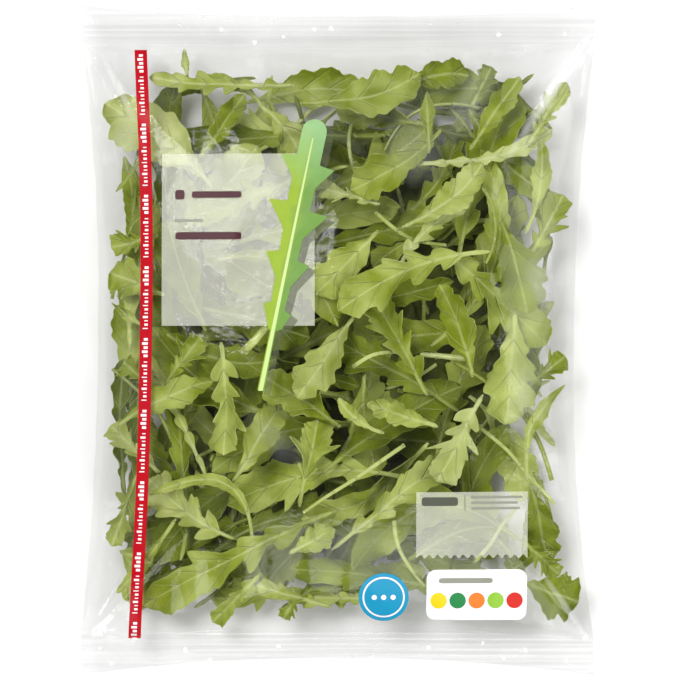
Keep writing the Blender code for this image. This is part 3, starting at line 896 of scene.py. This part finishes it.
def leaf_skin(name, deep, middle, pale, rib, roughness):
    made, tree, output = new_material(name)
    uv = add_node(tree, "UVMap", uv_map="leaf_mm").outputs[0]
    parts = add_node(tree, "SeparateXYZ", {0: uv})
    out = add_node(tree, "Math", {0: parts.outputs[0]}, operation="ABSOLUTE").outputs[0]
    along = parts.outputs[1]
    tone = add_node(tree, "Attribute", attribute_name="tone").outputs["Fac"]
    place = add_node(tree, "TexCoord").outputs["Object"]
    # Lighter and darker patches: partly the skin's own blotches, partly painted shade for the leaf's folds.
    blotch_and_shade = {"Vector": place, "Scale": repeats(BLOTCH_AND_SHADE_SIZE), "Detail": 2.0}
    blotch_and_shade = add_node(tree, "TexNoise", blotch_and_shade).outputs[0]
    shade = add_node(tree, "MapRange", {0: blotch_and_shade, 1: 0.3, 2: 0.7, 3: -0.26, 4: 0.26}).outputs[0]
    shade = add_node(tree, "Math", {0: tone, 1: shade}, operation="ADD").outputs[0]
    ramp = add_node(tree, "ValToRGB", {0: shade})
    ramp.color_ramp.elements[0].color = linear(deep)
    ramp.color_ramp.elements[1].color = linear(pale)
    ramp.color_ramp.elements.new(0.5).color = linear(middle)
    # The side veins run from the midrib towards the tip and wander a little.
    wander = add_node(tree, "TexNoise", {"Vector": place, "Scale": repeats(WANDER_SIZE)}).outputs[0]
    wander = add_node(tree, "MapRange", {0: wander, 3: -WANDER, 4: WANDER}).outputs[0]
    lean = add_node(tree, "Math", {0: out, 1: -1.1, 2: along}, operation="MULTIPLY_ADD").outputs[0]
    lean = add_node(tree, "Math", {0: lean, 1: wander}, operation="ADD").outputs[0]
    vein = add_node(tree, "Math", {0: lean, 1: VEIN_SPACING / 2}, operation="PINGPONG").outputs[0]
    vein = add_node(tree, "MapRange", {0: vein, 1: 0.15, 2: 0.9, 3: 1.0, 4: 0.0}).outputs[0]
    fade = add_node(tree, "MapRange", {0: out, 1: 1.0, 2: 12.0, 3: 0.30, 4: 0.05}).outputs[0]
    vein = add_node(tree, "Math", {0: vein, 1: fade}, operation="MULTIPLY").outputs[0]
    net = {"Vector": uv, "Scale": 1 / NET_SIZE}
    net = add_node(tree, "TexVoronoi", net, feature="DISTANCE_TO_EDGE")
    net = add_node(tree, "MapRange", {0: net.outputs[0], 1: 0.0, 2: 0.14, 3: 1.0, 4: 0.0}).outputs[0]
    # The midrib is a millimetre wide at the stalk and thins to nothing towards the tip.
    rib_half = add_node(tree, "MapRange", {0: along, 1: 10.0, 2: 100.0, 3: 0.8, 4: 0.22}).outputs[0]
    ridge = add_node(tree, "Math", {0: out, 1: rib_half}, operation="DIVIDE").outputs[0]
    ridge = add_node(tree, "MapRange", {0: ridge, 1: 0.5, 2: 1.3, 3: 0.55, 4: 0.0}).outputs[0]
    body = add_node(tree, "MixRGB", {"Fac": vein, "Color1": ramp.outputs[0], "Color2": linear(rib)})
    faint = add_node(tree, "Math", {0: net, 1: 0.06}, operation="MULTIPLY").outputs[0]
    body = {"Fac": faint, "Color1": body.outputs[0], "Color2": linear(rib)}
    body = add_node(tree, "MixRGB", body).outputs[0]
    plain = add_node(tree, "MapRange", {0: tone, 3: 0.45, 4: 1.1}).outputs[0]
    ridge = add_node(tree, "Math", {0: ridge, 1: plain}, operation="MULTIPLY").outputs[0]
    body = add_node(tree, "MixRGB", {"Fac": ridge, "Color1": body, "Color2": linear(rib)}).outputs[0]
    lines = add_node(tree, "Math", {0: vein, 1: 1.6, 2: faint}, operation="MULTIPLY_ADD").outputs[0]
    blister = {"Vector": place, "Scale": repeats(BLISTER_SIZE), "Detail": 3.0}
    blister = add_node(tree, "TexNoise", blister).outputs[0]
    height = add_node(tree, "Math", {0: blister, 1: lines}, operation="SUBTRACT").outputs[0]
    bump = {"Height": height, "Distance": 0.0016, "Strength": 0.75}
    bump = add_node(tree, "Bump", bump).outputs[0]
    look = {"Base Color": body, "Roughness": roughness, "Specular IOR Level": 0.3, "Normal": bump}
    skin_side = add_node(tree, "BsdfPrincipled", look).outputs[0]
    through = {"Color": linear(LEAF_GLOW), "Normal": bump}
    through = add_node(tree, "BsdfTranslucent", through).outputs[0]
    finish = add_node(tree, "MixShader", {0: GLOW_SHARE, 1: skin_side, 2: through}).outputs[0]
    tree.links.new(finish, output.inputs[0])
    return made


upper_greens = ("#5f6e05", "#909f1f", "#c8d374", "#d6de96")
upper_skin = leaf_skin("rocket_leaf_upper_skin", *upper_greens, 0.45)
under_greens = ("#7f8b30", "#aab64e", "#d2db90", "#dee5aa")
under_skin = leaf_skin("rocket_leaf_under_skin", *under_greens, 0.55)

# The leaves that show at the front, from the top of the pile down: kind, the places of the foot and
# the tip and the width in millimetres, the bend to the left as a share of the length, and the tone
# from 0, deep green, to 1, pale.
SHOWN_LEAVES = (
    ("broad", 86, 14, 81, -41, 27, 0.03, 0.85),
    ("lobed", 74, 43, 0, 14, 30, -0.08, 0.75),
    ("lobed", 70, -27, 48, -69, 27, 0, 0.85),
    ("lobed", -57, -1, -56, -56, 25, 0.03, 0.9),
    ("broad", -61, 74, -115, 116, 31, -0.05, 0.85),
    ("sprig", -22, 125, -93, 129, 14, 0.03, 0.6),
    ("strap", -74, 126, -76, 143, 5, 0, 0.6),
    ("broad", -19, 116, 40, 131, 23, -0.08, 0.65),
    ("strap", 44, 91, 43, 121, 8, 0, 0.55),
    ("broad", 50, 102, 6, 73, 22, 0.05, 0.55),
    ("broad", 31, 55, 70, 86, 17, -0.08, 0.7),
    ("lobed", 20, 66, -11, 75, 17, 0, 0.85),
    ("lobed", 29, 34, 64, 67, 15, 0.1, 0.85),
    ("lobed", -3, -84, -96, -131, 29, -0.02, 0.6),
    ("stalk", 32, -51, -19, -85, 2, 0, 0.9),
    ("strap", -43, -112, -93, -76, 7, -0.44, 0.65),
    ("lobed", -50, -98, -93, -68, 28, 0.05, 0.65),
    ("lobed", -3, -102, 55, -59, 22, 0.02, 0.6),
    ("strap", 92, -68, 111, -22, 8, 0.15, 0.9),
    ("broad", 90, -119, 118, -129, 26, 0, 0.35),
    ("lobed", 90, -98, 109, -116, 16, 0, 0.55),
    ("broad", 94, -70, 104, -110, 19, 0, 0.35),
    ("strap", 91, 52, 99, 98, 11, -0.08, 0.8),
    ("lobed", 92, 95, 112, 126, 15, 0, 0.8),
    ("broad", 64, 93, 89, 129, 13, 0, 0.55),
    ("lobed", 65, 114, 75, 134, 13, 0, 0.5),
    ("broad", 30, 122, 64, 130, 16, 0.12, 0.35),
    ("broad", 41, 106, -1, 116, 21, 0, 0.7),
    ("broad", 65, -18, 49, 27, 19, -0.05, 0.5),
    ("lobed", 43, -27, 17, 22, 27, 0, 0.6),
    ("stalk", 63, -9, 40, -7, 3, 0, 1),
    ("stalk", 7, -13, 29, -6, 2, 0.1, 0.9),
    ("broad", 79, 58, 92, 13, 27, 0.03, 0.45),
    ("lobed", 91, -24, 111, -8, 17, 0, 0.5),
    ("lobed", 93, 40, 110, 71, 22, 0, 0.45),
    ("broad", 19, 53, -11, 22, 23, 0, 0.8),
    ("broad", 8, 12, -20, -28, 21, 0, 0.7),
    ("broad", 1, -42, -37, -17, 21, 0, 0.55),
    ("broad", -108, -42, -61, -20, 16, 0.05, 0.6),
    ("stalk", 7, 109, 20, 66, 2, -0.16, 0.8),
    ("stalk", 18, 62, 53, 46, 2, -0.1, 0.7),
    ("lobed", -88, 51, -111, 45, 17, 0, 0.6),
    ("broad", -85, 22, -112, 33, 21, 0, 0.75),
    ("strap", -92, 4, -111, 18, 6, 0, 0.6),
    ("lobed", -92, -22, -105, -11, 15, 0, 0.45),
    ("lobed", -87, -66, -112, -42, 19, 0, 0.65),
    ("lobed", -99, -66, -111, -101, 13, 0, 0.35),
    ("strap", -92, -109, -107, -103, 7, 0, 0.6),
    ("lobed", -38, -114, -62, -139, 15, 0, 0.6),
    ("lobed", -4, -131, -40, -120, 15, 0, 0.6),
    ("lobed", -19, -123, -27, -137, 10, 0, 0.55),
    ("broad", -68, 89, -46, 120, 15, 0, 0.4),
    ("broad", -38, 114, -18, 86, 17, 0.1, 0.6),
    ("lobed", -85, -22, -67, 2, 17, 0, 0.45),
    ("stalk", -46, -6, -34, 7, 4, 0, 1),
    ("lobed", -19, -81, -10, -39, 23, 0, 0.8),
    ("broad", -52, -70, -26, -28, 18, 0, 0.5),
    ("strap", 22, -45, 0, -28, 7, 0.1, 0.8),
    ("broad", 48, -42, 14, -31, 13, 0, 0.8),
    ("stalk", 27, -88, 43, -121, 2, -0.1, 0.7),
    ("stalk", 66, -109, 87, -81, 2, 0, 1),
    ("broad", -24, -104, -2, -92, 15, 0, 0.95),
)
FILL_LEAVES, BACK_LEAVES = 400, 150
SHOWN_ROWS, STALK_ROWS, FILL_ROWS, BACK_ROWS = 96, 40, 46, 34
FILL_KINDS = ("lobed", "broad") * 2 + ("sprig", "strap") + ("lobed", "broad") * 2 + ("stalk",)
FILL_SIZES = {
    # kind: least and most length, least and most width, all in millimetres
    "lobed": ((60, 110), (18, 32)),
    "broad": ((50, 90), (15, 27)),
    "sprig": ((50, 90), (10, 16)),
    "strap": ((40, 75), (6, 10)),
    "stalk": ((45, 85), (1.6, 2.2)),
}
HEAP_HALF = (0.1075, 0.1325)
HEAP_MIDDLE, HEAP_EDGE = (-0.0018, -0.0005), (0.1125, 0.1365)
TRIES = 24
SHOWN_SUPPLE, BACK_SUPPLE = 0.6, 0.85
MOST_TIGHT, BACK_MOST_TIGHT = 0.09, 0.3
SIDE_GAP = 0.003

draw = np.random.default_rng(LEAF_SEED)
piles = {kind: LeafPile(f"{kind}_leaves" if kind != "stalk" else "stalks") for kind in KIND_SHAPES}
piles["back"] = LeafPile("back_leaves")
room = np.where(film_inside, under_film, over_film)
bed = over_film.copy()


def place_leaf(kind, foot, tip, width, bend, tone, rows, supple, loose=False):
    """Lets one leaf down into the heap, or leaves it out where there is no room for it."""
    sheet, thick, places = leaf_sheet(kind, foot, tip, width, bend, draw, rows, True)
    if loose and (np.abs(sheet[..., :2] - HEAP_MIDDLE) > HEAP_EDGE).any():
        return
    t = sheet[..., 1] / (FLAT_HEIGHT / 2)
    side, reach = waist_shift(t), half_width(t) - SIDE_GAP
    sheet[..., 0] = np.clip(sheet[..., 0], side - reach, side + reach)
    sheet[..., 2], tight = lower_leaf(sheet, thick, room, bed, supple)
    if tight > MOST_TIGHT:
        return
    stamp(room, sheet, thick)
    piles[kind].add(sheet, thick, places, tone, draw.random() < 0.3)


for kind, foot_x, foot_y, tip_x, tip_y, width, bend, tone in SHOWN_LEAVES:
    foot, tip = (foot_x / 1000, foot_y / 1000), (tip_x / 1000, tip_y / 1000)
    rows = STALK_ROWS if kind == "stalk" else SHOWN_ROWS
    place_leaf(kind, foot, tip, width / 1000, bend, tone, rows, SHOWN_SUPPLE)


def random_leaf():
    """A leaf somewhere in the heap, turned any way: its kind, ends, width and bend."""
    kind = FILL_KINDS[draw.integers(len(FILL_KINDS))]
    long, width = (draw.uniform(*span) / 1000 for span in FILL_SIZES[kind])
    turn = draw.uniform(0, math.tau)
    step = np.array([math.cos(turn), math.sin(turn)]) * long / 2
    reach = np.array(HEAP_HALF) + 0.003 - np.abs(step) * 0.97 - width * 0.2
    centre = np.array(HEAP_MIDDLE) + draw.uniform(-1, 1, 2) * np.maximum(reach, 0.01)
    return kind, centre - step, centre + step, width, draw.normal(0, 0.13)


def emptiest_leaf(taken_from):
    """Of a few random leaves, the one over the space that has the fewest leaves so far."""
    best, least = None, 1
    for _ in range(TRIES):
        leaf = random_leaf()
        s = np.linspace(0.1, 1, 9)[:, None]
        line = leaf[1] + s * (leaf[2] - leaf[1])
        fill = (read_field(taken_from, *line.T) - read_field(room, *line.T)).mean()
        if fill < least:
            best, least = leaf, fill
    return best


for _ in range(FILL_LEAVES):
    kind, foot, tip, width, bend = emptiest_leaf(under_film)
    tone = float(np.clip(draw.normal(0.45, 0.26), 0, 1))
    supple = draw.uniform(0.3, 0.8)
    place_leaf(kind, foot, tip, width, bend, tone, FILL_ROWS, supple, loose=True)
front_space = room.copy()

# The same from behind: the heights are turned over, so that the back film is the ceiling.
room = np.where(film_inside, -over_film, -under_film)
back_ceiling = room.copy()
bed = -front_space + 0.002
for _ in range(BACK_LEAVES):
    kind, foot, tip, width, bend = emptiest_leaf(back_ceiling)
    sheet, thick, places = leaf_sheet(kind, foot, tip, width, bend, draw, BACK_ROWS, False)
    sheet[..., 2], tight = lower_leaf(sheet, thick, room, bed, BACK_SUPPLE)
    if tight > BACK_MOST_TIGHT or (np.abs(sheet[..., :2] - HEAP_MIDDLE) > HEAP_EDGE).any():
        continue
    film = read_field(back_ceiling, sheet[..., 0], sheet[..., 1])
    sheet[..., 2] = np.minimum(sheet[..., 2], film - thick)
    stamp(room, sheet, thick)
    sheet[..., 2] *= -1
    piles["back"].add(sheet, thick, places, float(draw.random()), draw.random() < 0.5)
back_space = -room

for pile in piles.values():
    pile.build(upper_skin, under_skin)

# The core of the heap
# Real piece: the many leaves in the middle that never show, as a soft mass painted dark green for
# their shade. It stays well inside the heap's edge, so that light still comes through the leaves there.
CORE_HALF = (0.086, 0.106)
CORE_GAP = 0.0015
CORE_REACH = 5
CORE_CELLS = (60, 76)
SCRAP_SIZE = 9.09  # millimetres, of the lighter scraps in its shade


def least_near(field, steps):
    """The least height near each place, then smoothed."""
    for _ in range(steps):
        field = np.min([np.roll(field, shift, axis) for axis in (0, 1) for shift in (-1, 1)], 0)
    for _ in range(steps):
        field = sum(np.roll(field, shift, axis) for axis in (0, 1) for shift in (-1, 1)) / 4
    return field


core_top = least_near(front_space, CORE_REACH) - CORE_GAP
core_bottom = -least_near(-back_space, CORE_REACH) + CORE_GAP
core = bmesh.new()
bmesh.ops.create_grid(core, x_segments=CORE_CELLS[0], y_segments=CORE_CELLS[1], size=1)
lower_core = list(core.verts)
raised = bmesh.ops.extrude_face_region(core, geom=core.faces[:])["geom"]
upper_core = [item for item in raised if isinstance(item, bmesh.types.BMVert)]
for core_verts, sign in ((lower_core, -1), (upper_core, 1)):
    flat = np.array([vert.co.xy for vert in core_verts])
    x = flat[:, 0] * CORE_HALF[0] * np.sqrt(1 - flat[:, 1] ** 2 / 2.6)
    y = flat[:, 1] * CORE_HALF[1] * np.sqrt(1 - flat[:, 0] ** 2 / 2.6)
    high, low = read_field(core_top, x, y), read_field(core_bottom, x, y)
    edge = np.max(np.abs(flat), axis=1)
    thick = np.maximum(high - low, 0.002) / 2 * np.sqrt(np.maximum(1 - edge**6, 0.0004))
    z = (high + low) / 2 + sign * thick
    for vert, point in zip(core_verts, np.stack([x, y, z], 1)):
        vert.co = point
bmesh.ops.recalc_face_normals(core, faces=core.faces)
mesh = mesh_from("leaf_core", core)
mesh.shade_smooth()

# Leaves in deep shade, the shade painted in: dark olive with lighter scraps, dull.
painted_shade_leaf, tree, output = new_material("painted_shade_rocket_leaf")
place = add_node(tree, "TexCoord").outputs["Object"]
scraps = add_node(tree, "TexVoronoi", {"Vector": place, "Scale": repeats(SCRAP_SIZE)})
scraps = add_node(tree, "SeparateXYZ", {0: scraps.outputs["Color"]}).outputs[0]
ramp = add_node(tree, "ValToRGB", {0: scraps})
ramp.color_ramp.elements[0].color = linear("#3a420a")
ramp.color_ramp.elements[1].color = linear("#626d18")
finish = add_node(tree, "BsdfPrincipled", {"Base Color": ramp.outputs[0], "Roughness": 0.7}).outputs[0]
tree.links.new(finish, output.inputs[0])
leaf_core = object_from("leaf_core", mesh, painted_shade_leaf)
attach(leaf_core, "root")
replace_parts(leaf_core, "bag")

# The table
# A plain near-white matt board, which isn't part of the bag.
TABLE_HALF = 3.0
BOARD_GRAIN = 2.5  # millimetres

table = bmesh.new()
bmesh.ops.create_grid(table, x_segments=1, y_segments=1, size=TABLE_HALF)
mesh = mesh_from("table", table)
board, tree, output = new_material("matt_white_board")
place = add_node(tree, "TexCoord").outputs["Object"]
grain = add_node(tree, "TexNoise", {"Vector": place, "Scale": repeats(BOARD_GRAIN)}).outputs[0]
value = add_node(tree, "MapRange", {0: grain, 3: 0.99, 4: 1.01}).outputs[0]
tone = add_node(tree, "HueSaturation", {"Color": linear("#f4f4f4"), "Value": value}).outputs[0]
finish = add_node(tree, "BsdfPrincipled", {"Base Color": tone, "Roughness": 0.9}).outputs[0]
tree.links.new(finish, output.inputs[0])
object_from("table", mesh, board)

# Light and camera
# Soft boxes stand round the camera and leave the space over the bag dark, so that only folds that
# turn towards a box shine. The camera looks straight down.
WORLD_STRENGTH = 0.12
SOFT_BOXES = (
    # place, size and power in watts
    ((-0.6, 0.55, 1.6), 0.7, 22),
    ((1.2, 0.2, 1.1), 0.9, 12),
    ((0.2, -1.3, 1.1), 0.9, 13.5),
    ((0.1, 1.4, 1.1), 0.9, 4),
    ((-1.4, -0.3, 1.0), 0.9, 3.5),
)
for number, (spot, size, watts) in enumerate(SOFT_BOXES):
    lamp = bpy.data.lights.new(f"soft_box_{number + 1}", "AREA")
    lamp.size, lamp.energy = size, watts
    lamp_object = bpy.data.objects.new(lamp.name, lamp)
    lamp_object.location = spot
    lamp_object.rotation_euler = Vector(spot).to_track_quat("Z", "Y").to_euler()
    bpy.context.scene.collection.objects.link(lamp_object)

world = bpy.data.worlds.new("pale_studio")
bpy.context.scene.world = world
world.use_nodes = True
backdrop = world.node_tree.nodes["Background"]
backdrop.inputs["Color"].default_value = linear("#ffffff")
backdrop.inputs["Strength"].default_value = WORLD_STRENGTH

CAMERA_HEIGHT = 1.9
FRAME_WIDTH = 0.334
FRAME_MIDDLE = (0.0007, 0.0)
SUBJECT_HEIGHT = 0.022
camera = bpy.data.cameras.new("camera")
camera.sensor_width = 36
camera.lens = camera.sensor_width * (CAMERA_HEIGHT - SUBJECT_HEIGHT) / FRAME_WIDTH
camera_object = bpy.data.objects.new("camera", camera)
camera_object.location = (*FRAME_MIDDLE, CAMERA_HEIGHT)
bpy.context.scene.collection.objects.link(camera_object)
bpy.context.scene.camera = camera_object
bpy.context.scene.view_settings.view_transform = "Standard"
bpy.context.scene.view_settings.exposure = 0.0

bpy.context.view_layer.update()
